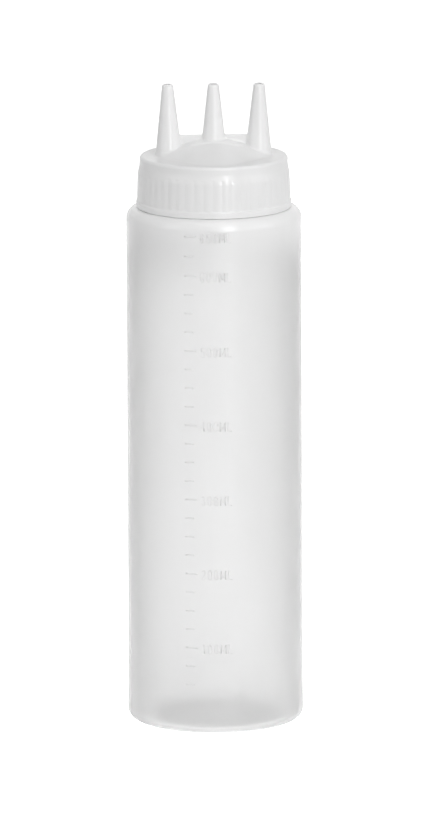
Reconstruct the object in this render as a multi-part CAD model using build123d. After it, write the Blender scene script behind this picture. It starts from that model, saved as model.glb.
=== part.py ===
from build123d import *

import os
from math import atan2, cos, degrees, radians, sin

# All sizes are in millimetres. Z is up from the surface that the bottle stands on,
# the three nozzles stand in a row along X, and the scale faces -Y.

# Bottle, a blow-moulded shell
body_radius = 34.0
body_wall = 1.1
foot_bulge = 0.2
foot_bulge_top = 8.0
foot_bulge_fade = 18.0
foot_rounding = 4.0
standing_ring_radius = 27.0
base_push_up = 2.8
shoulder_height = 203.0
shoulder_rounding = 4.4
neck_radius = 25.9
neck_wall = 1.4
lip_height = 220.1
lip_rounding = 0.4

# Raised scale: heights above the foot, and angles in degrees from -Y towards +X
scale_zero_height = 4.97
scale_rise_per_ml = 0.2937
scale_step_ml = 25
scale_even_to_ml = 600
scale_wide_rise = 7.8
scale_wide_steps = 2
tick_start_angle = -22.8
short_tick_end_angle = -16.9
long_tick_end_angle = -13.9
tick_relief = 0.2
tick_width = 0.5
tick_root = 0.3

# Screw thread shared by the neck and the cap, right-handed
thread_pitch = 5.0
thread_turns = 1.5
thread_base_width = 2.2
thread_crest_width = 1.0
thread_root = 0.3
neck_thread_depth = 1.4
neck_thread_start = 208.2
cap_thread_depth = 1.35
cap_thread_start = 206.2

# Cap, one moulding with its nozzles
cap_foot = 203.2
cap_top = 223.1
cap_bore_radius = 27.7
cap_top_wall = 1.7
bead_radius = 30.2
bead_top = 205.5
bead_rounding = 0.5
skirt_foot_radius = 29.9
skirt_top_radius = 29.4
skirt_top = 218.2
band_radius = 28.8
rim_rounding = 1.3
groove_count = 50
groove_depth = 0.2
groove_half_width = 0.6
groove_foot_gap = 0.3

# Oval dome, the boss along the row of nozzles on it, and the upright web
dome_half_length = 22.5
dome_half_width = 15.5
dome_rise = 5.7
boss_half_length = 19.3
boss_rise = 6.6
boss_radius = 5.3
hollow_half_length = 20.3
hollow_half_width = 13.3
hollow_rise = 6.8
web_top = 231.1
web_thickness = 1.6

# Nozzles: the outer two lean outwards
nozzle_spacing = 17.4
nozzle_lean = 0.75
nozzle_foot_radius = 5.23
nozzle_tip_radius = 2.14
nozzle_top = 251.1
nozzle_tip_rounding = 0.7
nozzle_root = 1.2
channel_foot_radius = 3.9
outlet_radius = 1.2
outlet_length = 6.0

# Sealing washer, loose inside the cap and clamped on the lip of the neck
washer_radius = 27.3
washer_hole_radius = 22.4

underside = cap_top - cap_top_wall
upward = (Align.CENTER, Align.CENTER, Align.MIN)
downward = (Align.CENTER, Align.CENTER, Align.MAX)


def revolved(outline):
    """The solid of revolution about Z of a closed outline drawn as (radius, height)."""
    return revolve(make_face(Plane.XZ * outline), Axis.Z)


def screw_thread(root_radius, depth, start_height):
    """A right-handed thread on root_radius; a negative depth points it inwards."""
    path = Helix(thread_pitch, thread_turns * thread_pitch, root_radius, center=(0, 0, start_height))
    outward = 1 if depth > 0 else -1
    section = Polyline(
        (-thread_root, -thread_base_width / 2),
        (abs(depth), -thread_crest_width / 2),
        (abs(depth), thread_crest_width / 2),
        (-thread_root, thread_base_width / 2),
        close=True,
    )
    section_plane = Plane(origin=path @ 0, x_dir=(outward, 0, 0), z_dir=path % 0)
    return sweep(section_plane * make_face(section), path=path, is_frenet=True)


def base_curve(height):
    """The pushed-up middle of the base, from the axis out to the standing ring."""
    half_way = (standing_ring_radius / 2, height + base_push_up * 0.75)
    return ThreePointArc((0, height + base_push_up), half_way, (standing_ring_radius, height))


def bottle_outside():
    """The bottle as a filled block, without its thread and scale."""
    foot_radius = body_radius + foot_bulge
    foot_edge = (foot_radius - foot_rounding, 0)
    foot_side = (foot_radius, foot_rounding)
    shoulder_side = (body_radius, shoulder_height - shoulder_rounding)
    shoulder_edge = (body_radius - shoulder_rounding, shoulder_height)
    lip_side = (neck_radius, lip_height - lip_rounding)
    lip_edge = (neck_radius - lip_rounding, lip_height)
    outline = base_curve(0) + Line((standing_ring_radius, 0), foot_edge)
    outline += RadiusArc(foot_edge, foot_side, -foot_rounding)
    outline += Polyline(foot_side, (foot_radius, foot_bulge_top), (body_radius, foot_bulge_fade), shoulder_side)
    outline += RadiusArc(shoulder_side, shoulder_edge, -shoulder_rounding)
    outline += Polyline(shoulder_edge, (neck_radius, shoulder_height), lip_side)
    outline += RadiusArc(lip_side, lip_edge, -lip_rounding)
    outline += Polyline(lip_edge, (0, lip_height), (0, base_push_up))
    return revolved(outline)


def bottle_inside():
    """The space inside the bottle, open through the neck."""
    radius = body_radius - body_wall
    foot_round = foot_rounding - body_wall
    shoulder_round = shoulder_rounding - body_wall
    ceiling = shoulder_height - body_wall
    mouth_radius = neck_radius - neck_wall
    open_top = lip_height + 1
    foot_edge = (radius - foot_round, body_wall)
    foot_side = (radius, body_wall + foot_round)
    shoulder_side = (radius, ceiling - shoulder_round)
    shoulder_edge = (radius - shoulder_round, ceiling)
    outline = base_curve(body_wall) + Line((standing_ring_radius, body_wall), foot_edge)
    outline += RadiusArc(foot_edge, foot_side, -foot_round)
    outline += Line(foot_side, shoulder_side)
    outline += RadiusArc(shoulder_side, shoulder_edge, -shoulder_round)
    outline += Polyline(
        shoulder_edge,
        (mouth_radius, ceiling),
        (mouth_radius, open_top),
        (0, open_top),
        (0, body_wall + base_push_up),
    )
    return revolved(outline)


def tick(height, end_angle):
    """One raised line of the scale, from the shared start angle to end_angle."""
    middle = (tick_start_angle + end_angle) / 2
    length = body_radius * radians(end_angle - tick_start_angle)
    depth = tick_relief + tick_root
    distance = body_radius + tick_relief - depth / 2
    place = Pos(distance * sin(radians(middle)), -distance * cos(radians(middle)), height)
    return place * Rot(0, 0, middle) * Box(length, depth, tick_width)


def scale_ticks():
    """A short line at each 25 ml and a long one at each 100 ml, wider apart above 600 ml."""
    ticks = []
    for volume in range(scale_step_ml, scale_even_to_ml + 1, scale_step_ml):
        end_angle = short_tick_end_angle if volume % 100 else long_tick_end_angle
        ticks.append(tick(scale_zero_height + scale_rise_per_ml * volume, end_angle))
    last_even_height = scale_zero_height + scale_rise_per_ml * scale_even_to_ml
    for step in range(1, scale_wide_steps + 1):
        end_angle = short_tick_end_angle if step < scale_wide_steps else long_tick_end_angle
        ticks.append(tick(last_even_height + scale_wide_rise * step, end_angle))
    return ticks


def bottle():
    """The body with its foot, shoulder, threaded neck and raised scale."""
    shell = bottle_outside() - bottle_inside()
    shell += screw_thread(neck_radius, neck_thread_depth, neck_thread_start)
    return shell + scale_ticks()


def cap_shell():
    """The screw skirt with its foot bead, the smooth band and the flat top, hollow from below."""
    bead_low = (bead_radius - bead_rounding, cap_foot)
    bead_side = (bead_radius, cap_foot + bead_rounding)
    rim_side = (band_radius, cap_top - rim_rounding)
    rim_edge = (band_radius - rim_rounding, cap_top)
    outline = Line((cap_bore_radius, cap_foot), bead_low)
    outline += RadiusArc(bead_low, bead_side, -bead_rounding)
    outline += Polyline(
        bead_side,
        (bead_radius, bead_top),
        (skirt_foot_radius, bead_top),
        (skirt_top_radius, skirt_top),
        (band_radius, skirt_top),
        rim_side,
    )
    outline += RadiusArc(rim_side, rim_edge, -rim_rounding)
    outline += Polyline(
        rim_edge, (0, cap_top), (0, underside), (cap_bore_radius, underside), (cap_bore_radius, cap_foot)
    )
    return revolved(outline)


def skirt_grooves():
    """The shallow V grooves between the skirt's ribs, leaning with the skirt's taper."""
    height = skirt_top - bead_top - groove_foot_gap
    taper = degrees(atan2(skirt_foot_radius - skirt_top_radius, skirt_top - bead_top))
    section = Polyline(
        (-groove_depth, 0),
        (groove_depth, -2 * groove_half_width),
        (groove_depth, 2 * groove_half_width),
        close=True,
    )
    groove = Pos(0, 0, -height / 2) * extrude(make_face(section), height)
    middle_radius = (skirt_foot_radius + skirt_top_radius) / 2
    middle_height = skirt_top - height / 2
    placed = Pos(middle_radius, 0, middle_height) * Rot(0, -taper, 0) * groove
    return [Rot(0, 0, 360 * turn / groove_count) * placed for turn in range(groove_count)]


def oval_dome(half_length, half_width, rise, foot):
    """A shallow dome on an oval foot, long in X, cut off flat at foot."""
    sphere_radius = (half_length**2 + rise**2) / (2 * rise)
    ball = Pos(0, 0, rise - sphere_radius) * Sphere(sphere_radius)
    slab = Box(3 * half_length, 3 * half_length, rise, align=upward)
    return Pos(0, 0, foot) * scale(ball & slab, by=(1, half_width / half_length, 1))


def boss():
    """The raised strip of the dome that the nozzles stand on."""
    strip = extrude(SlotCenterToCenter(2 * nozzle_spacing, 2 * boss_radius), boss_rise)
    crown = oval_dome(boss_half_length, dome_half_width, boss_rise, cap_top)
    return crown & (Pos(0, 0, cap_top) * strip)


def web():
    """The upright fin that joins the three nozzles."""
    height = web_top - cap_top + nozzle_root
    return Pos(0, 0, web_top) * Box(2 * nozzle_spacing, web_thickness, height, align=downward)


def leaning(side, height):
    """The place of a nozzle's foot at a height, for side -1, 0 or 1 along X."""
    return Pos(side * nozzle_spacing, 0, height) * Rot(0, side * nozzle_lean, 0)


def nozzle(side):
    """The outside of one tapered nozzle."""
    cone = Cone(nozzle_foot_radius, nozzle_tip_radius, nozzle_top - cap_top, align=upward)
    cone = fillet(cone.edges().group_by(Axis.Z)[-1], nozzle_tip_rounding)
    root = Cylinder(nozzle_foot_radius, nozzle_root, align=downward)
    return leaning(side, cap_top) * (cone + root)


def channel(side):
    """The tapered passage up one nozzle, with a short straight outlet."""
    taper_length = nozzle_top - outlet_length - underside
    taper = Cone(channel_foot_radius, outlet_radius, taper_length, align=upward)
    outlet = Pos(0, 0, taper_length) * Cylinder(outlet_radius, outlet_length + 1, align=upward)
    entry = Cylinder(channel_foot_radius, 1, align=downward)
    return leaning(side, underside) * (taper + outlet + entry)


def cap():
    """The screw cap, its dome and web, and the three hollow nozzles."""
    sides = (-1, 0, 1)
    shell = cap_shell() - skirt_grooves()
    shell += oval_dome(dome_half_length, dome_half_width, dome_rise, cap_top)
    shell += boss()
    shell += web()
    shell += [nozzle(side) for side in sides]
    shell -= oval_dome(hollow_half_length, hollow_half_width, hollow_rise, underside)
    shell -= [channel(side) for side in sides]
    return shell + screw_thread(cap_bore_radius, -cap_thread_depth, cap_thread_start)


def sealing_washer():
    """The soft flat ring between the lip of the neck and the underside of the cap."""
    ring = Cylinder(washer_radius, underside - lip_height, align=upward)
    hole = Cylinder(washer_hole_radius, underside - lip_height, align=upward)
    return Pos(0, 0, lip_height) * (ring - hole)


os.makedirs("parts", exist_ok=True)
export_step(bottle(), "parts/bottle.step")
export_step(cap(), "parts/cap.step")
export_step(sealing_washer(), "parts/sealing_washer.step")
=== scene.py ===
from math import cos, pi, radians, sin, sqrt

import bmesh
import bpy
import numpy as np
from mathutils import Matrix, Vector


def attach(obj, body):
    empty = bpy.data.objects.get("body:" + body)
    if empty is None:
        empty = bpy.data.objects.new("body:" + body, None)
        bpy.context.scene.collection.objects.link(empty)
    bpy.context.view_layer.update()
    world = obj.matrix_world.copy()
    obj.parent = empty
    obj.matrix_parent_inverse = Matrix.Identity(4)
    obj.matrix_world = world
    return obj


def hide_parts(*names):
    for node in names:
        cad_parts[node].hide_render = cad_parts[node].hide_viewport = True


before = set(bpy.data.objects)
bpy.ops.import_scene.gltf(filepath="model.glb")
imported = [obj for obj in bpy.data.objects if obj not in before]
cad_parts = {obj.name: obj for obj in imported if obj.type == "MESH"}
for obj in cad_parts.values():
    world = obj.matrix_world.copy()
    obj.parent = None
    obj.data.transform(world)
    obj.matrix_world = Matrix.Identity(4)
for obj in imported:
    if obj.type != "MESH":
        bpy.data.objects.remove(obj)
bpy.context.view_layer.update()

# Lengths are in millimetres until a mesh is made, and angles in degrees.
MM = 0.001

# Photograph: a distant camera, a little above the bottle and a little to its left
camera_distance = 5000.0
camera_elevation = 11.28
camera_azimuth = -3.0
camera_roll = -0.23
camera_target_height = 120.8
camera_target_right = 1.3
lens_length = 559.0

# Bottle
body_radius = 34.0
body_wall = 1.1
foot_bulge = 0.2
foot_bulge_top = 8.0
foot_bulge_fade = 18.0
foot_rounding = 4.0
standing_ring_radius = 27.0
base_push_up = 2.8
shoulder_height = 203.0
shoulder_rounding = 4.4
neck_radius = 25.9
neck_wall = 1.4
neck_root_rounding = 0.5
lip_height = 220.1
lip_rounding = 0.4
seam_relief = 0.06
seam_half_angle = 0.45
inner_clearness = 0.97
body_clearness = 0.9
shoulder_clearness = 0.05
shoulder_milky_from = 172.0
shoulder_milky_to = 200.0
weld_half_length = 23.0
weld_half_width = 0.55
weld_outside = 0.25
weld_inside = 0.5
weld_least = 0.02
seam_fade = 3.0
seam_from = 0.5

# Raised scale: heights above the foot, and angles from the front towards +X
scale_zero_height = 4.97
scale_rise_per_ml = 0.2937
scale_step_ml = 25
scale_even_to_ml = 600
scale_full_ml = 650
scale_wide_rise = 7.8
tick_start_angle = -22.8
short_tick_end_angle = -16.9
long_tick_end_angle = -14.9
tick_width = 0.55
mark_relief = 0.08
number_start_angle = -11.9
number_height = 3.6
number_gap = 2.9
number_pen = 0.4
number_drop = 0.4

# Screw thread, right-handed
thread_pitch = 5.0
thread_turns = 1.5
thread_base_width = 2.2
thread_crest_width = 1.0
thread_fade_turns = 0.12
neck_thread_depth = 1.4
neck_thread_start = 208.2
cap_thread_depth = 1.35
cap_thread_start = 206.2

# Cap
cap_foot = 203.04
cap_top = 223.1
cap_bore_radius = 27.7
cap_top_wall = 1.7
underside = cap_top - cap_top_wall
bead_radius = 30.2
bead_top = 205.5
bead_rounding = 0.15
skirt_foot_radius = 29.9
skirt_top_radius = 29.4
skirt_top = 218.2
band_radius = 28.8
rim_rounding = 1.3
groove_count = 50
groove_depth = 0.14
groove_fade = 0.8
edge_rounding = 0.25
step_fade = 2.2
dome_half_length = 22.5
dome_half_width = 15.5
dome_rise = 5.7
dome_front_blend = 8.0
dome_end_blend = 0.6
boss_half_length = 19.3
boss_rise = 6.6
boss_radius = 5.3
boss_edge_rounding = 0.6
boss_foot_blend = 0.5
hollow_half_length = 20.3
hollow_half_width = 13.3
hollow_rise = 6.8
web_top = 231.1
web_thickness = 1.6
web_edge_rounding = 0.4
web_foot_blend = 0.8
web_side_blend = 0.5
nozzle_spacing = 17.4
nozzle_lean = 0.75
nozzle_foot_radius = 5.23
nozzle_tip_radius = 2.14
nozzle_top = 251.1
nozzle_tip_rounding = 0.7
nozzle_root = 1.2
nozzle_foot_blend = 0.8
nozzle_blend_low = 227.0
nozzle_blend_high = 230.5
channel_foot_radius = 3.9
outlet_radius = 1.2
outlet_length = 6.0
cap_grid_step = 0.45

# Light
world_strength = 0.39
shown_strength = 1.0
floor_glow = 0.9
floor_indirect_glow = 0.74
strip_power = 7.7
top_power = 2.8
right_power = 3.9
left_power = 2.9


def camera_axes():
    """Unit vectors from the target to the camera, and to the camera's right."""
    azimuth = radians(camera_azimuth)
    elevation = radians(camera_elevation)
    back = Vector((sin(azimuth) * cos(elevation), -cos(azimuth) * cos(elevation), sin(elevation)))
    return back, Vector((cos(azimuth), sin(azimuth), 0))


def make_camera():
    data = bpy.data.cameras.new("camera")
    data.lens = lens_length
    data.sensor_width = 36.0
    data.clip_start = 0.1
    data.clip_end = 50.0
    camera = bpy.data.objects.new("camera", data)
    bpy.context.scene.collection.objects.link(camera)
    back, right = camera_axes()
    target = Vector((0, 0, camera_target_height)) + right * camera_target_right
    camera.location = (target + back * camera_distance) * MM
    facing = (-back).to_track_quat("-Z", "Y").to_matrix()
    camera.rotation_mode = "QUATERNION"
    camera.rotation_quaternion = (facing @ Matrix.Rotation(radians(camera_roll), 3, "Z")).to_quaternion()
    bpy.context.scene.camera = camera


def mesh_object(name, corners, faces, normals=None):
    """A smooth-shaded mesh from corners in millimetres."""
    mesh = bpy.data.meshes.new(name)
    mesh.from_pydata([tuple(c) for c in np.asarray(corners) * MM], [], faces)
    mesh.validate()
    mesh.update()
    mesh.shade_smooth()
    if normals is not None:
        mesh.normals_split_custom_set_from_vertices(normals)
    piece = bpy.data.objects.new(name, mesh)
    bpy.context.scene.collection.objects.link(piece)
    return piece


def finish_piece(piece, body, material):
    piece.data.materials.clear()
    piece.data.materials.append(material)
    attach(piece, body)


def run(start, end, spacing=3.0, guard=0.25):
    """Points from start up to, but without, end, with one close to each end to hold its edge."""
    start = np.array(start, float)
    end = np.array(end, float)
    length = np.linalg.norm(end - start)
    steps = max(1, round((length - 2 * guard) / spacing))
    shares = [0.0]
    if length > 3 * guard:
        shares += [(guard + (length - 2 * guard) * k / steps) / length for k in range(steps + 1)]
    return [tuple(start + (end - start) * share) for share in shares]


def arc(centre, radius, start_angle, end_angle, steps=10):
    """Points along an arc, without its last."""
    angles = np.radians(np.linspace(start_angle, end_angle, steps + 1)[:-1])
    return [(centre[0] + radius * cos(a), centre[1] + radius * sin(a)) for a in angles]


def base_height(radius):
    """How far the pushed-up base stands above the standing ring."""
    return base_push_up * (1 - min(radius / standing_ring_radius, 1.0) ** 2)


def base_run(outwards, lift):
    radii = np.linspace(0.6, standing_ring_radius, 20)
    radii = radii if outwards else radii[::-1]
    return [(r, base_height(r) + lift) for r in radii]


def bottle_outline():
    """The wall's section, from the middle of the base up the outside and down the inside."""
    foot_radius = body_radius + foot_bulge
    foot_centre = (foot_radius - foot_rounding, foot_rounding)
    shoulder_centre = (body_radius - shoulder_rounding, shoulder_height - shoulder_rounding)
    inner_radius = body_radius - body_wall
    inner_foot = foot_rounding - body_wall
    inner_foot_centre = (inner_radius - inner_foot, body_wall + inner_foot)
    inner_shoulder = shoulder_rounding
    ceiling = shoulder_height - body_wall
    mouth_radius = neck_radius - neck_wall
    root = neck_root_rounding
    lip = lip_rounding
    fade = np.linspace(0, 1, 7)[1:-1]
    bulge = [
        (
            body_radius + foot_bulge * (0.5 + 0.5 * cos(pi * t)),
            foot_bulge_top + (foot_bulge_fade - foot_bulge_top) * t,
        )
        for t in fade
    ]
    outline = base_run(True, 0)
    outline += run((standing_ring_radius + 0.3, 0), (foot_centre[0], 0))
    outline += arc(foot_centre, foot_rounding, -90, 0, 12)
    outline += run((foot_radius, foot_rounding), (foot_radius, foot_bulge_top)) + bulge
    outline += run((body_radius, foot_bulge_fade), (body_radius, shoulder_centre[1]))
    outline += arc(shoulder_centre, shoulder_rounding, 0, 90, 14)
    outline += run((shoulder_centre[0], shoulder_height), (neck_radius + root, shoulder_height))
    outline += arc((neck_radius + root, shoulder_height + root), root, 270, 180, 6)
    neck_from = len(outline)
    outline += run((neck_radius, shoulder_height + root), (neck_radius, lip_height - lip), spacing=0.28)
    neck_to = len(outline)
    outline += arc((neck_radius - lip, lip_height - lip), lip, 0, 90, 6)
    outline += run((neck_radius - lip, lip_height), (mouth_radius + lip, lip_height), spacing=0.4, guard=0.1)
    outline += arc((mouth_radius + lip, lip_height - lip), lip, 90, 180, 6)
    inner_from = len(outline)
    outline += run((mouth_radius, lip_height - lip), (mouth_radius, ceiling + root))
    outline += arc((mouth_radius + root, ceiling + root), root, 180, 270, 6)
    outline += run((mouth_radius + root, ceiling), (inner_radius - inner_shoulder, ceiling))
    outline += arc((inner_radius - inner_shoulder, ceiling - inner_shoulder), inner_shoulder, 90, 0, 12)
    outline += run((inner_radius, ceiling - inner_shoulder), (inner_radius, inner_foot_centre[1]))
    outline += arc(inner_foot_centre, inner_foot, 0, -90, 10)
    outline += run((inner_foot_centre[0], body_wall), (standing_ring_radius + 0.3, body_wall))
    outline += base_run(False, body_wall)
    return outline, neck_from, neck_to, inner_from


def thread_relief(angle, height, start, depth):
    """How far a thread stands off its wall at an angle in radians and a height."""
    turn = np.mod(angle, 2 * pi) / (2 * pi)
    relief = np.zeros(np.broadcast(angle, height).shape)
    for whole in range(int(thread_turns) + 1):
        progress = turn + whole
        ends = np.minimum(progress, thread_turns - progress) / thread_fade_turns
        ends = np.clip(ends, 0, 1)
        away = np.abs(height - (start + thread_pitch * progress))
        flank = (thread_base_width / 2 - away) / (thread_base_width / 2 - thread_crest_width / 2)
        relief = np.maximum(relief, np.clip(flank, 0, 1) * depth * ends * ends * (3 - 2 * ends))
    return relief


def bottle_columns():
    """Angles round the bottle, closer together at the two mould seams."""
    even = np.linspace(0, 360, 240, endpoint=False)
    close = [side + offset for side in (0.0, 180.0) for offset in (-0.9, -0.45, -0.25, 0.25, 0.45, 0.9)]
    return np.radians(np.unique(np.round(np.mod(np.concatenate([even, close]), 360), 4)))


def make_bottle():
    outline, neck_from, neck_to, inner_from = bottle_outline()
    angles = bottle_columns()
    rows = np.array(outline)
    radius = np.repeat(rows[:, :1], len(angles), axis=1)
    height = np.repeat(rows[:, 1:], len(angles), axis=1)
    turn = np.broadcast_to(angles, radius.shape)
    neck = slice(neck_from, neck_to)
    radius[neck] += thread_relief(turn[neck], height[neck], neck_thread_start, neck_thread_depth)
    to_seam = np.abs(np.mod(np.degrees(angles) + 90, 180) - 90) / seam_half_angle
    seam = np.clip(1 - to_seam, 0, 1) * seam_relief
    outside = slice(0, neck_from)
    fade = np.clip((rows[outside, 0] - standing_ring_radius) / seam_fade, 0, 1)
    upright = np.clip((rows[outside, 1] - seam_from) / seam_fade, 0, 1)
    radius[outside] += (fade * upright)[:, None] * seam[None, :]
    radius[outside] = np.minimum(radius[outside], body_radius + foot_bulge)
    corners = np.stack([radius * np.cos(turn), radius * np.sin(turn), height], axis=-1).reshape(-1, 3)
    count = len(angles)
    faces = []
    for row in range(len(rows) - 1):
        low = row * count
        high = low + count
        for k in range(count):
            after = (k + 1) % count
            faces.append((low + k, low + after, high + after, high + k))
    corners = list(map(tuple, corners))
    for row, turned in ((0, True), (len(rows) - 1, False)):
        middle = len(corners)
        corners.append((0, 0, base_push_up + (0 if turned else body_wall)))
        ring = [row * count + k for k in range(count)]
        for k in range(count):
            pair = (ring[k], ring[(k + 1) % count])
            faces.append((middle, pair[1], pair[0]) if turned else (middle, pair[0], pair[1]))
    bottle = mesh_object("bottle_shell", corners, faces)
    inner_face = np.zeros(len(corners), np.float32)
    base_rows = rows[:, 0] < standing_ring_radius
    inner_face[: len(rows) * count] = np.repeat(base_rows | (np.arange(len(rows)) >= inner_from), count)
    inner_face[-2:] = 1
    bottle.data.attributes.new("inner_face", "FLOAT", "POINT").data.foreach_set("value", inner_face)
    return bottle


def on_bottle(along, up, out):
    """A flat drawing wrapped on the body: along and up in millimetres, out from the surface."""
    angle = along / body_radius
    distance = body_radius + out
    return (distance * sin(angle), -distance * cos(angle), up)


def angle_to_length(angle):
    return radians(angle) * body_radius


def scale_height(volume):
    """Height of a volume's mark; above the evenly spaced marks the shoulder makes them wider apart."""
    even = min(volume, scale_even_to_ml)
    extra = (volume - even) / scale_step_ml
    return scale_zero_height + scale_rise_per_ml * even + scale_wide_rise * extra


def bow(across, up, half_width, half_height, start_angle, end_angle):
    """Points along part of an ellipse, angles from the right and anticlockwise."""
    steps = max(4, round(abs(end_angle - start_angle) / 18))
    angles = np.radians(np.linspace(start_angle, end_angle, steps + 1))
    return [(across + half_width * cos(a), up + half_height * sin(a)) for a in angles]


def glyph_strokes(letter):
    """The pen strokes of one plain narrow character, 10 units tall, and its width."""
    ring = bow(2, 7.9, 1.8, 2.1, 0, 180) + bow(2, 2.1, 1.8, 2.1, 180, 360) + [(3.8, 7.9)]
    hook = bow(2, 7.9, 1.8, 2.1, 25, 180)
    shapes = {
        "0": ([ring], 4),
        "1": ([[(0.8, 8.2), (2.2, 10), (2.2, 0)]], 4),
        "2": ([bow(2, 7.7, 1.8, 2.3, 165, -35) + [(0.2, 0), (3.8, 0)]], 4),
        "3": ([bow(2, 7.7, 1.7, 2.3, 150, -90) + bow(2, 2.7, 1.8, 2.7, 90, -150)], 4),
        "4": ([[(3, 0), (3, 10), (0.1, 3), (4, 3)]], 4),
        "5": ([[(3.6, 10), (0.6, 10), (0.4, 5.4)] + bow(1.9, 3, 1.9, 3, 130, -145)], 4),
        "6": ([hook + [(0.2, 3)] + bow(2, 2.8, 1.8, 2.8, 180, -180)], 4),
        "M": ([[(0, 0), (0, 10), (2.7, 2.5), (5.4, 10), (5.4, 0)]], 5.4),
        "L": ([[(0, 10), (0, 0), (4.2, 0)]], 4.2),
    }
    return shapes[letter]


def bead_along(path, width, corners, faces):
    """Adds a rounded bead, half sunk in the wall, along a path of (along, up) points."""
    path = np.array(path)
    step = np.gradient(path, axis=0)
    step /= np.linalg.norm(step, axis=1)[:, None]
    size = 8
    first = len(corners)
    for (along, up), (right, rise) in zip(path, step):
        for k in range(size):
            angle = 2 * pi * k / size
            side = width / 2 * cos(angle)
            out = mark_relief * sin(angle)
            corners.append(on_bottle(along - rise * side, up + right * side, out))
    for ring in range(len(path) - 1):
        low = first + ring * size
        for k in range(size):
            after = (k + 1) % size
            faces.append((low + k, low + size + k, low + size + after, low + after))
    last = first + (len(path) - 1) * size
    faces.append(tuple(first + k for k in range(size)))
    faces.append(tuple(last + k for k in reversed(range(size))))


def make_ticks():
    corners = []
    faces = []
    start = angle_to_length(tick_start_angle)
    for volume in range(scale_step_ml, scale_full_ml + 1, scale_step_ml):
        is_long = volume % 100 == 0 or volume == scale_full_ml
        end = angle_to_length(long_tick_end_angle if is_long else short_tick_end_angle)
        path = [(along, scale_height(volume)) for along in np.linspace(start, end, 5)]
        bead_along(path, tick_width, corners, faces)
    return mesh_object("scale_ticks", corners, faces)


def make_numbers():
    corners = []
    faces = []
    unit = number_height / 10
    volumes = [v for v in range(scale_step_ml, scale_full_ml + 1, scale_step_ml) if v % 100 == 0]
    for volume in volumes + [scale_full_ml]:
        start = angle_to_length(number_start_angle)
        foot = scale_height(volume) - number_drop - number_height / 2
        for letter in f"{volume}ML":
            strokes, width = glyph_strokes(letter)
            for stroke in strokes:
                path = [(start + x * unit, foot + y * unit) for x, y in stroke]
                bead_along(path, number_pen, corners, faces)
            start += (width + number_gap) * unit
    return mesh_object("scale_numbers", corners, faces)


def make_base_weld():
    """The straight pinch line across the base, where the mould nipped the soft tube shut."""
    corners = []
    faces = []
    places = np.linspace(-1, 1, 41)
    size = 10
    for place in places:
        along = place * weld_half_length
        swell = sqrt(max(0.0, 1 - abs(place) ** 6))
        middle = base_height(abs(along)) + body_wall / 2
        up_reach = body_wall / 2 + weld_inside * swell - weld_least * (1 - swell)
        down_reach = body_wall / 2 + weld_outside * swell - weld_least * (1 - swell)
        for k in range(size):
            angle = 2 * pi * (k + 0.5) / size
            reach = up_reach if sin(angle) > 0 else down_reach
            across = weld_half_width * max(swell, 0.1) * cos(angle)
            corners.append((along, across, max(middle + reach * sin(angle), weld_least)))
    for step in range(len(places) - 1):
        low = step * size
        for k in range(size):
            after = (k + 1) % size
            faces.append((low + k, low + after, low + size + after, low + size + k))
    faces.append(tuple(reversed(range(size))))
    faces.append(tuple((len(places) - 1) * size + k for k in range(size)))
    return mesh_object("base_weld", corners, faces)


def round_union(a, b, radius):
    """The joined distance of two shapes, with a fillet of that radius between them."""
    inner = np.maximum(radius, np.minimum(a, b))
    return inner - np.hypot(np.maximum(radius - a, 0), np.maximum(radius - b, 0))


def round_overlap(a, b, radius):
    """The distance to what two shapes share, with its edge rounded to that radius."""
    outer = np.minimum(-radius, np.maximum(a, b))
    return outer + np.hypot(np.maximum(radius + a, 0), np.maximum(radius + b, 0))


def smooth_step(value, low, high):
    share = np.clip((value - low) / (high - low), 0, 1)
    return share * share * (3 - 2 * share)


def skirt_radius(turn, z):
    """The ribbed skirt: ribs parted by sharp grooves that fade out, and a top that narrows to the band."""
    climb = (z - bead_top) / (skirt_top - bead_top)
    taper = skirt_foot_radius + (skirt_top_radius - skirt_foot_radius) * climb
    rib = np.abs(np.sin(groove_count / 2 * turn))
    from_foot = smooth_step(z, bead_top, bead_top + groove_fade)
    to_top = 1 - smooth_step(z, skirt_top - groove_fade, skirt_top)
    outer = taper - groove_depth * (1 - rib) * (from_foot * to_top)
    return outer + (band_radius - outer) * smooth_step(z, skirt_top - step_fade, skirt_top + step_fade)


def oval_dome(x, y, z, half_length, half_width, rise, foot):
    """Distance to a sphere squeezed in Y, whose cap stands on an oval foot."""
    squeeze = half_width / half_length
    ball = (half_length**2 + rise**2) / (2 * rise)
    up = z - (foot + rise - ball)
    flat = np.sqrt(x**2 + (y / squeeze) ** 2 + up**2)
    slope = np.sqrt(x**2 + (y / squeeze**2) ** 2 + up**2) / flat
    return (flat - ball) / slope


def leaning_axis(x, y, z, side, foot):
    """Distance from, and height along, the axis of the nozzle on that side."""
    lean = radians(side * nozzle_lean)
    from_foot = x - side * nozzle_spacing
    along = from_foot * sin(lean) + (z - foot) * cos(lean)
    across = from_foot * cos(lean) - (z - foot) * sin(lean)
    return np.hypot(across, y), along


def nozzle(x, y, z, side):
    away, up = leaning_axis(x, y, z, side, cap_top)
    height = nozzle_top - cap_top
    slope = (nozzle_foot_radius - nozzle_tip_radius) / height
    cone = (away - (nozzle_foot_radius - slope * np.maximum(up, 0))) / sqrt(1 + slope**2)
    return np.maximum(round_overlap(cone, up - height, nozzle_tip_rounding), -nozzle_root - up)


def channel(x, y, z, side):
    away, up = leaning_axis(x, y, z, side, underside)
    taper_length = nozzle_top - outlet_length - underside
    slope = (channel_foot_radius - outlet_radius) / taper_length
    radius = np.maximum(outlet_radius, channel_foot_radius - slope * np.maximum(up, 0))
    return np.maximum(away - radius, -1 - up)


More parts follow.
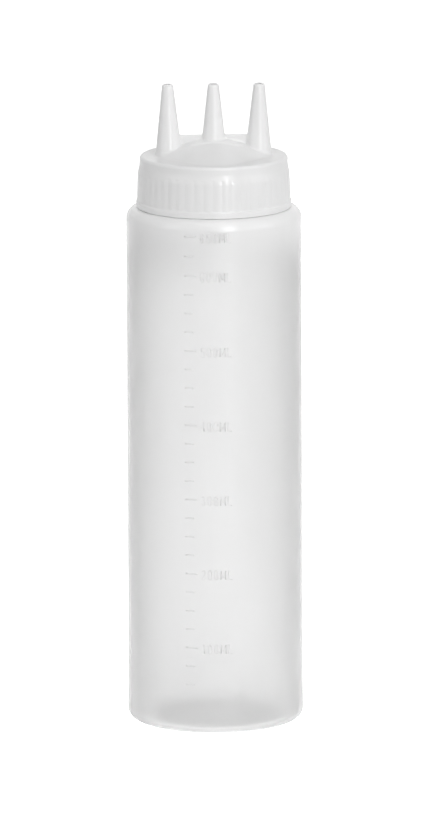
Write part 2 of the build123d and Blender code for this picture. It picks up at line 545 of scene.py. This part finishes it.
def cap_outside(x, y, z):
    rho = np.hypot(x, y)
    turn = np.arctan2(y, x)
    dome = oval_dome(x, y, z, dome_half_length, dome_half_width, dome_rise, cap_top)
    towards_end = smooth_step(np.abs(x), 0.0, nozzle_spacing)
    dome_blend = dome_front_blend + (dome_end_blend - dome_front_blend) * towards_end
    band = round_overlap(rho - band_radius, round_union(z - cap_top, dome, dome_blend), rim_rounding)
    skirt = np.maximum(rho - skirt_radius(turn, z), z - skirt_top - step_fade)
    bead = round_overlap(rho - bead_radius, z - bead_top, edge_rounding)
    body = round_union(np.minimum(band, skirt), bead, edge_rounding)
    body = round_overlap(body, cap_foot - z, bead_rounding)
    row = np.hypot(np.maximum(np.abs(x) - nozzle_spacing, 0), y) - boss_radius
    crown = oval_dome(x, y, z, boss_half_length, dome_half_width, boss_rise, cap_top)
    boss = np.maximum(round_overlap(row, crown, boss_edge_rounding), cap_top - 1 - z)
    top = round_union(body, boss, boss_foot_blend)
    nozzles = np.minimum(np.minimum(nozzle(x, y, z, -1), nozzle(x, y, z, 0)), nozzle(x, y, z, 1))
    web = round_overlap(np.abs(y) - web_thickness / 2, z - web_top, web_edge_rounding)
    web = np.maximum(web, np.maximum(np.abs(x) - nozzle_spacing, cap_top - nozzle_root - z))
    web_blend = web_side_blend + (web_foot_blend - web_side_blend) * smooth_step(nozzles, 0.3, 3.0)
    top = round_union(top, web, web_blend)
    near_foot = 1 - smooth_step(z, nozzle_blend_low, nozzle_blend_high)
    blend = web_side_blend + (nozzle_foot_blend - web_side_blend) * near_foot
    return round_union(top, nozzles, blend)


def cap_inside(x, y, z):
    rho = np.hypot(x, y)
    turn = np.arctan2(y, x)
    bore = round_overlap(rho - cap_bore_radius, z - underside, bead_rounding)
    hollow = oval_dome(x, y, z, hollow_half_length, hollow_half_width, hollow_rise, underside)
    hollow = np.maximum(hollow, underside - 0.5 - z)
    space = round_union(bore, hollow, edge_rounding)
    for side in (-1, 0, 1):
        space = round_union(space, channel(x, y, z, side), edge_rounding)
    relief = thread_relief(turn, z, cap_thread_start, cap_thread_depth)
    return np.maximum(space, rho - (cap_bore_radius - relief))


def cap_field(x, y, z):
    """Signed distance to the cap, roughly: negative inside its plastic."""
    return np.maximum(cap_outside(x, y, z), -cap_inside(x, y, z))


def crossings(values, axis):
    """Where the sign changes between neighbours along an axis, and how far along."""
    ahead = [slice(None)] * 3
    behind = [slice(None)] * 3
    ahead[axis] = slice(1, None)
    behind[axis] = slice(None, -1)
    first = values[tuple(behind)]
    second = values[tuple(ahead)]
    crossing = (first < 0) != (second < 0)
    share = np.where(crossing, first / np.where(crossing, first - second, 1), 0)
    return crossing, share, first < 0


def surface_net(values, low, step):
    """The zero surface of a sampled field: one corner in each cell it passes, joined by four-sided faces."""
    cells = tuple(s - 1 for s in values.shape)
    count = np.zeros(cells, np.int16)
    total = np.zeros(cells + (3,), np.float32)
    found = []
    for axis in range(3):
        crossing, share, first_inside = crossings(values, axis)
        found.append((crossing, first_inside))
        at = np.argwhere(crossing)
        point = at.astype(np.float32)
        point[:, axis] += share[crossing]
        others = [a for a in range(3) if a != axis]
        for du in (0, 1):
            for dv in (0, 1):
                cell = at.copy()
                cell[:, others[0]] -= du
                cell[:, others[1]] -= dv
                keep = np.all((cell >= 0) & (cell < np.array(cells)), axis=1)
                index = tuple(cell[keep].T)
                np.add.at(count, index, 1)
                np.add.at(total, index, point[keep])
    number = np.full(cells, -1, np.int64)
    used = count > 0
    number[used] = np.arange(used.sum())
    corners = total[used] / count[used][:, None] * step + np.array(low)
    faces = []
    for axis, (crossing, first_inside) in enumerate(found):
        at = np.argwhere(crossing)
        others = [(axis + 1) % 3, (axis + 2) % 3]
        loop = []
        for du, dv in ((1, 1), (0, 1), (0, 0), (1, 0)):
            cell = at.copy()
            cell[:, others[0]] -= du
            cell[:, others[1]] -= dv
            loop.append(number[tuple(cell.T)])
        quads = np.stack(loop, axis=1)
        turned = ~first_inside[crossing]
        quads[turned] = quads[turned][:, ::-1]
        faces.append(quads)
    return corners, np.concatenate(faces)


def gradient(field, points, reach=0.02):
    columns = []
    for axis in range(3):
        offset = np.zeros(3)
        offset[axis] = reach
        above = field(*(points + offset).T)
        below = field(*(points - offset).T)
        columns.append((above - below) / (2 * reach))
    return np.stack(columns, axis=1)


def settle(field, points, rounds=4):
    """Moves points onto the field's zero surface and returns them with its directions there."""
    for _ in range(rounds):
        slope = gradient(field, points)
        size = np.maximum((slope**2).sum(1), 0.25)
        move = field(*points.T)[:, None] * slope / size[:, None]
        points = points - np.clip(move, -cap_grid_step, cap_grid_step)
    slope = gradient(field, points)
    return points, slope / np.maximum(np.linalg.norm(slope, axis=1), 1e-6)[:, None]


def make_cap():
    margin = 2 * cap_grid_step
    low = np.array([-bead_radius, -bead_radius, cap_foot]) - margin
    high = np.array([bead_radius, bead_radius, nozzle_top]) + margin
    lines = [np.arange(low[a], high[a] + cap_grid_step, cap_grid_step) + 0.013 * (a + 1) for a in range(3)]
    grid = np.meshgrid(*lines, indexing="ij")
    values = cap_field(*grid)
    corners, quads = surface_net(values, [line[0] for line in lines], cap_grid_step)
    corners, normals = settle(cap_field, corners.astype(float))
    return mesh_object("cap_moulding", corners, quads.tolist(), normals)


def shader_tree(name):
    material = bpy.data.materials.new(name)
    material.use_nodes = True
    tree = material.node_tree
    shader = next(n for n in tree.nodes if n.type == "BSDF_PRINCIPLED")
    return material, tree, shader


def add_node(tree, kind, **values):
    node = tree.nodes.new(kind)
    for key, value in values.items():
        if key in node.inputs:
            node.inputs[key].default_value = value
        else:
            setattr(node, key, value)
    return node


def noise(tree, scale, detail, stretch=(1, 1, 1)):
    """A noise pattern fixed to the piece, with features of 1/scale metres."""
    place = add_node(tree, "ShaderNodeTexCoord")
    mapping = add_node(tree, "ShaderNodeMapping")
    mapping.inputs["Scale"].default_value = stretch
    pattern = add_node(tree, "ShaderNodeTexNoise", Scale=scale, Detail=detail, Roughness=0.5)
    tree.links.new(place.outputs["Object"], mapping.inputs["Vector"])
    tree.links.new(mapping.outputs["Vector"], pattern.inputs["Vector"])
    return pattern.outputs["Fac"]


def remap(tree, value, low, high):
    node = add_node(tree, "ShaderNodeMapRange")
    node.inputs["From Min"].default_value = 0.3
    node.inputs["From Max"].default_value = 0.7
    node.inputs["To Min"].default_value = low
    node.inputs["To Max"].default_value = high
    tree.links.new(value, node.inputs["Value"])
    return node.outputs["Result"]


def tint(tree, value, low, high):
    ramp = add_node(tree, "ShaderNodeValToRGB")
    ramp.color_ramp.elements[0].position = 0.3
    ramp.color_ramp.elements[0].color = (*low, 1)
    ramp.color_ramp.elements[1].position = 0.7
    ramp.color_ramp.elements[1].color = (*high, 1)
    tree.links.new(value, ramp.inputs["Fac"])
    return ramp.outputs["Color"]


def bump(tree, shader, layers):
    """Stacks (pattern, height in metres) layers into the shader's normal."""
    previous = None
    for value, height in layers:
        node = add_node(tree, "ShaderNodeBump", Strength=1.0, Distance=height)
        tree.links.new(value, node.inputs["Height"])
        if previous:
            tree.links.new(previous, node.inputs["Normal"])
        previous = node.outputs["Normal"]
    tree.links.new(previous, shader.inputs["Normal"])


def moulded_plastic(name, low, high, roughness, coat, gloss, clearness, depth, ripple, grain):
    """Natural plastic: part see-through, the rest milky to a depth in metres, with ripples and grain."""
    material, tree, shader = shader_tree(name)
    shader.inputs["IOR"].default_value = 1.51
    shader.inputs["Transmission Weight"].default_value = clearness
    shader.inputs["Subsurface Weight"].default_value = 1.0
    shader.inputs["Subsurface Radius"].default_value = (1, 1, 1)
    shader.inputs["Subsurface Scale"].default_value = depth
    shader.inputs["Coat Weight"].default_value = coat
    shader.inputs["Coat Roughness"].default_value = gloss
    cloud = noise(tree, 60, 3, (1, 1, 0.3))
    tree.links.new(tint(tree, cloud, low, high), shader.inputs["Base Color"])
    tree.links.new(remap(tree, noise(tree, 400, 2), roughness[0], roughness[1]), shader.inputs["Roughness"])
    bump(tree, shader, [(noise(tree, 45, 2, (1, 1, 0.25)), ripple), (noise(tree, 2500, 2), grain)])
    return material


def add_cloudy_skin(material):
    """Clears the base and the wall's inner face, and makes the wall milkier up to its shoulder."""
    tree = material.node_tree
    shader = next(n for n in tree.nodes if n.type == "BSDF_PRINCIPLED")
    place = add_node(tree, "ShaderNodeTexCoord")
    parts = add_node(tree, "ShaderNodeSeparateXYZ")
    rise = add_node(tree, "ShaderNodeMapRange", interpolation_type="SMOOTHSTEP")
    rise.inputs["From Min"].default_value = shoulder_milky_from * MM
    rise.inputs["From Max"].default_value = shoulder_milky_to * MM
    rise.inputs["To Min"].default_value = body_clearness
    rise.inputs["To Max"].default_value = shoulder_clearness
    inner = add_node(tree, "ShaderNodeAttribute", attribute_name="inner_face")
    choice = add_node(tree, "ShaderNodeMapRange")
    choice.inputs["To Max"].default_value = inner_clearness
    tree.links.new(place.outputs["Object"], parts.inputs["Vector"])
    tree.links.new(parts.outputs["Z"], rise.inputs["Value"])
    tree.links.new(inner.outputs["Fac"], choice.inputs["Value"])
    tree.links.new(rise.outputs["Result"], choice.inputs["To Min"])
    tree.links.new(choice.outputs["Result"], shader.inputs["Transmission Weight"])


def soft_rubber(name):
    material, tree, shader = shader_tree(name)
    shader.inputs["Subsurface Weight"].default_value = 0.2
    shader.inputs["Subsurface Scale"].default_value = 0.002
    shader.inputs["Subsurface Radius"].default_value = (1, 1, 1)
    colour = tint(tree, noise(tree, 300, 2), (0.74, 0.74, 0.72), (0.8, 0.8, 0.78))
    tree.links.new(colour, shader.inputs["Base Color"])
    tree.links.new(remap(tree, noise(tree, 900, 2), 0.5, 0.62), shader.inputs["Roughness"])
    bump(tree, shader, [(noise(tree, 3000, 2), 0.00001)])
    return material


def add_seen_rays(tree, indirect_share):
    """1 for camera rays, and a smaller share for reflected ones and those through the plastic."""
    rays = add_node(tree, "ShaderNodeLightPath")
    indirect = add_node(tree, "ShaderNodeMath", operation="MAXIMUM")
    dimmed = add_node(tree, "ShaderNodeMath", operation="MULTIPLY")
    dimmed.inputs[1].default_value = indirect_share
    seen = add_node(tree, "ShaderNodeMath", operation="MAXIMUM")
    tree.links.new(rays.outputs["Is Glossy Ray"], indirect.inputs[0])
    tree.links.new(rays.outputs["Is Transmission Ray"], indirect.inputs[1])
    tree.links.new(indirect.outputs[0], dimmed.inputs[0])
    tree.links.new(rays.outputs["Is Camera Ray"], seen.inputs[0])
    tree.links.new(dimmed.outputs[0], seen.inputs[1])
    return seen.outputs[0]


def make_floor():
    """A plain pale floor that shows white and keeps the bottle's shadow."""
    build = bmesh.new()
    bmesh.ops.create_grid(build, x_segments=8, y_segments=8, size=4.0)
    mesh = bpy.data.meshes.new("floor")
    build.to_mesh(mesh)
    build.free()
    floor = bpy.data.objects.new("floor", mesh)
    bpy.context.scene.collection.objects.link(floor)
    material = bpy.data.materials.new("floor_white")
    material.use_nodes = True
    tree = material.node_tree
    tree.nodes.clear()
    diffuse = add_node(tree, "ShaderNodeBsdfDiffuse", Color=(0.8, 0.8, 0.8, 1))
    glow = add_node(tree, "ShaderNodeEmission", Color=(1, 1, 1, 1))
    strength = add_node(tree, "ShaderNodeMath", operation="MULTIPLY")
    strength.inputs[1].default_value = floor_glow
    both = add_node(tree, "ShaderNodeAddShader")
    output = add_node(tree, "ShaderNodeOutputMaterial")
    tree.links.new(add_seen_rays(tree, floor_indirect_glow), strength.inputs[0])
    tree.links.new(strength.outputs[0], glow.inputs["Strength"])
    tree.links.new(diffuse.outputs[0], both.inputs[0])
    tree.links.new(glow.outputs[0], both.inputs[1])
    tree.links.new(both.outputs[0], output.inputs["Surface"])
    mesh.materials.append(material)


def make_world():
    """Even pale light from all round, and a white background where it is seen."""
    world = bpy.data.worlds.new("studio")
    bpy.context.scene.world = world
    world.use_nodes = True
    tree = world.node_tree
    tree.nodes.clear()
    light = add_node(tree, "ShaderNodeBackground", Color=(1, 1, 1, 1), Strength=world_strength)
    shown = add_node(tree, "ShaderNodeBackground", Color=(1, 1, 1, 1), Strength=shown_strength)
    mix = add_node(tree, "ShaderNodeMixShader")
    output = add_node(tree, "ShaderNodeOutputWorld")
    tree.links.new(add_seen_rays(tree, 1.0), mix.inputs["Fac"])
    tree.links.new(light.outputs[0], mix.inputs[1])
    tree.links.new(shown.outputs[0], mix.inputs[2])
    tree.links.new(mix.outputs[0], output.inputs["Surface"])


def area_light(name, azimuth, elevation, distance, width, height, power, aim_height=0.12):
    """A soft rectangular lamp at an angle round the bottle, facing it."""
    data = bpy.data.lights.new(name, "AREA")
    data.shape = "RECTANGLE"
    data.size = width
    data.size_y = height
    data.energy = power
    lamp = bpy.data.objects.new(name, data)
    bpy.context.scene.collection.objects.link(lamp)
    a = radians(azimuth)
    e = radians(elevation)
    back = Vector((sin(a) * cos(e), -cos(a) * cos(e), sin(e)))
    lamp.location = Vector((0, 0, aim_height)) + back * distance
    lamp.rotation_mode = "QUATERNION"
    lamp.rotation_quaternion = back.to_track_quat("Z", "Y")
    return lamp


def make_lights():
    area_light(
        "strip_right_front", azimuth=17, elevation=22, distance=1.6, width=0.2, height=1.3, power=strip_power
    )
    area_light("soft_top", azimuth=20, elevation=70, distance=1.5, width=1.0, height=1.0, power=top_power)
    area_light("fill_right", azimuth=65, elevation=20, distance=1.8, width=0.9, height=1.2, power=right_power)
    area_light("fill_left", azimuth=-60, elevation=20, distance=1.8, width=0.9, height=1.2, power=left_power)


bpy.context.scene.view_settings.view_transform = "Standard"
make_camera()
make_floor()
make_world()
make_lights()

bottle_plastic = moulded_plastic(
    "bottle_plastic",
    low=(0.93, 0.93, 0.93),
    high=(0.95, 0.95, 0.95),
    roughness=(0.29, 0.34),
    coat=1.0,
    gloss=0.2,
    clearness=body_clearness,
    depth=0.0008,
    ripple=0.00006,
    grain=0.000003,
)
add_cloudy_skin(bottle_plastic)
mark_plastic = moulded_plastic(
    "mark_plastic",
    low=(0.91, 0.91, 0.91),
    high=(0.93, 0.93, 0.93),
    roughness=(0.31, 0.35),
    coat=0.3,
    gloss=0.2,
    clearness=0.0,
    depth=0.0,
    ripple=0.00002,
    grain=0.000002,
)
cap_plastic = moulded_plastic(
    "cap_plastic",
    low=(0.87, 0.87, 0.87),
    high=(0.9, 0.9, 0.9),
    roughness=(0.29, 0.33),
    coat=0.3,
    gloss=0.14,
    clearness=0.0,
    depth=0.0003,
    ripple=0.00004,
    grain=0.000003,
)
washer_rubber = soft_rubber("washer_rubber")

bottle = make_bottle()
finish_piece(bottle, "bottle", bottle_plastic)
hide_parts("bottle")
finish_piece(make_base_weld(), "bottle", bottle_plastic)
for mark in (make_ticks(), make_numbers()):
    finish_piece(mark, "bottle", mark_plastic)

cap = make_cap()
finish_piece(cap, "cap", cap_plastic)
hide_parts("cap")

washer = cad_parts["sealing_washer"]
for slot in washer.material_slots:
    slot.material = washer_rubber
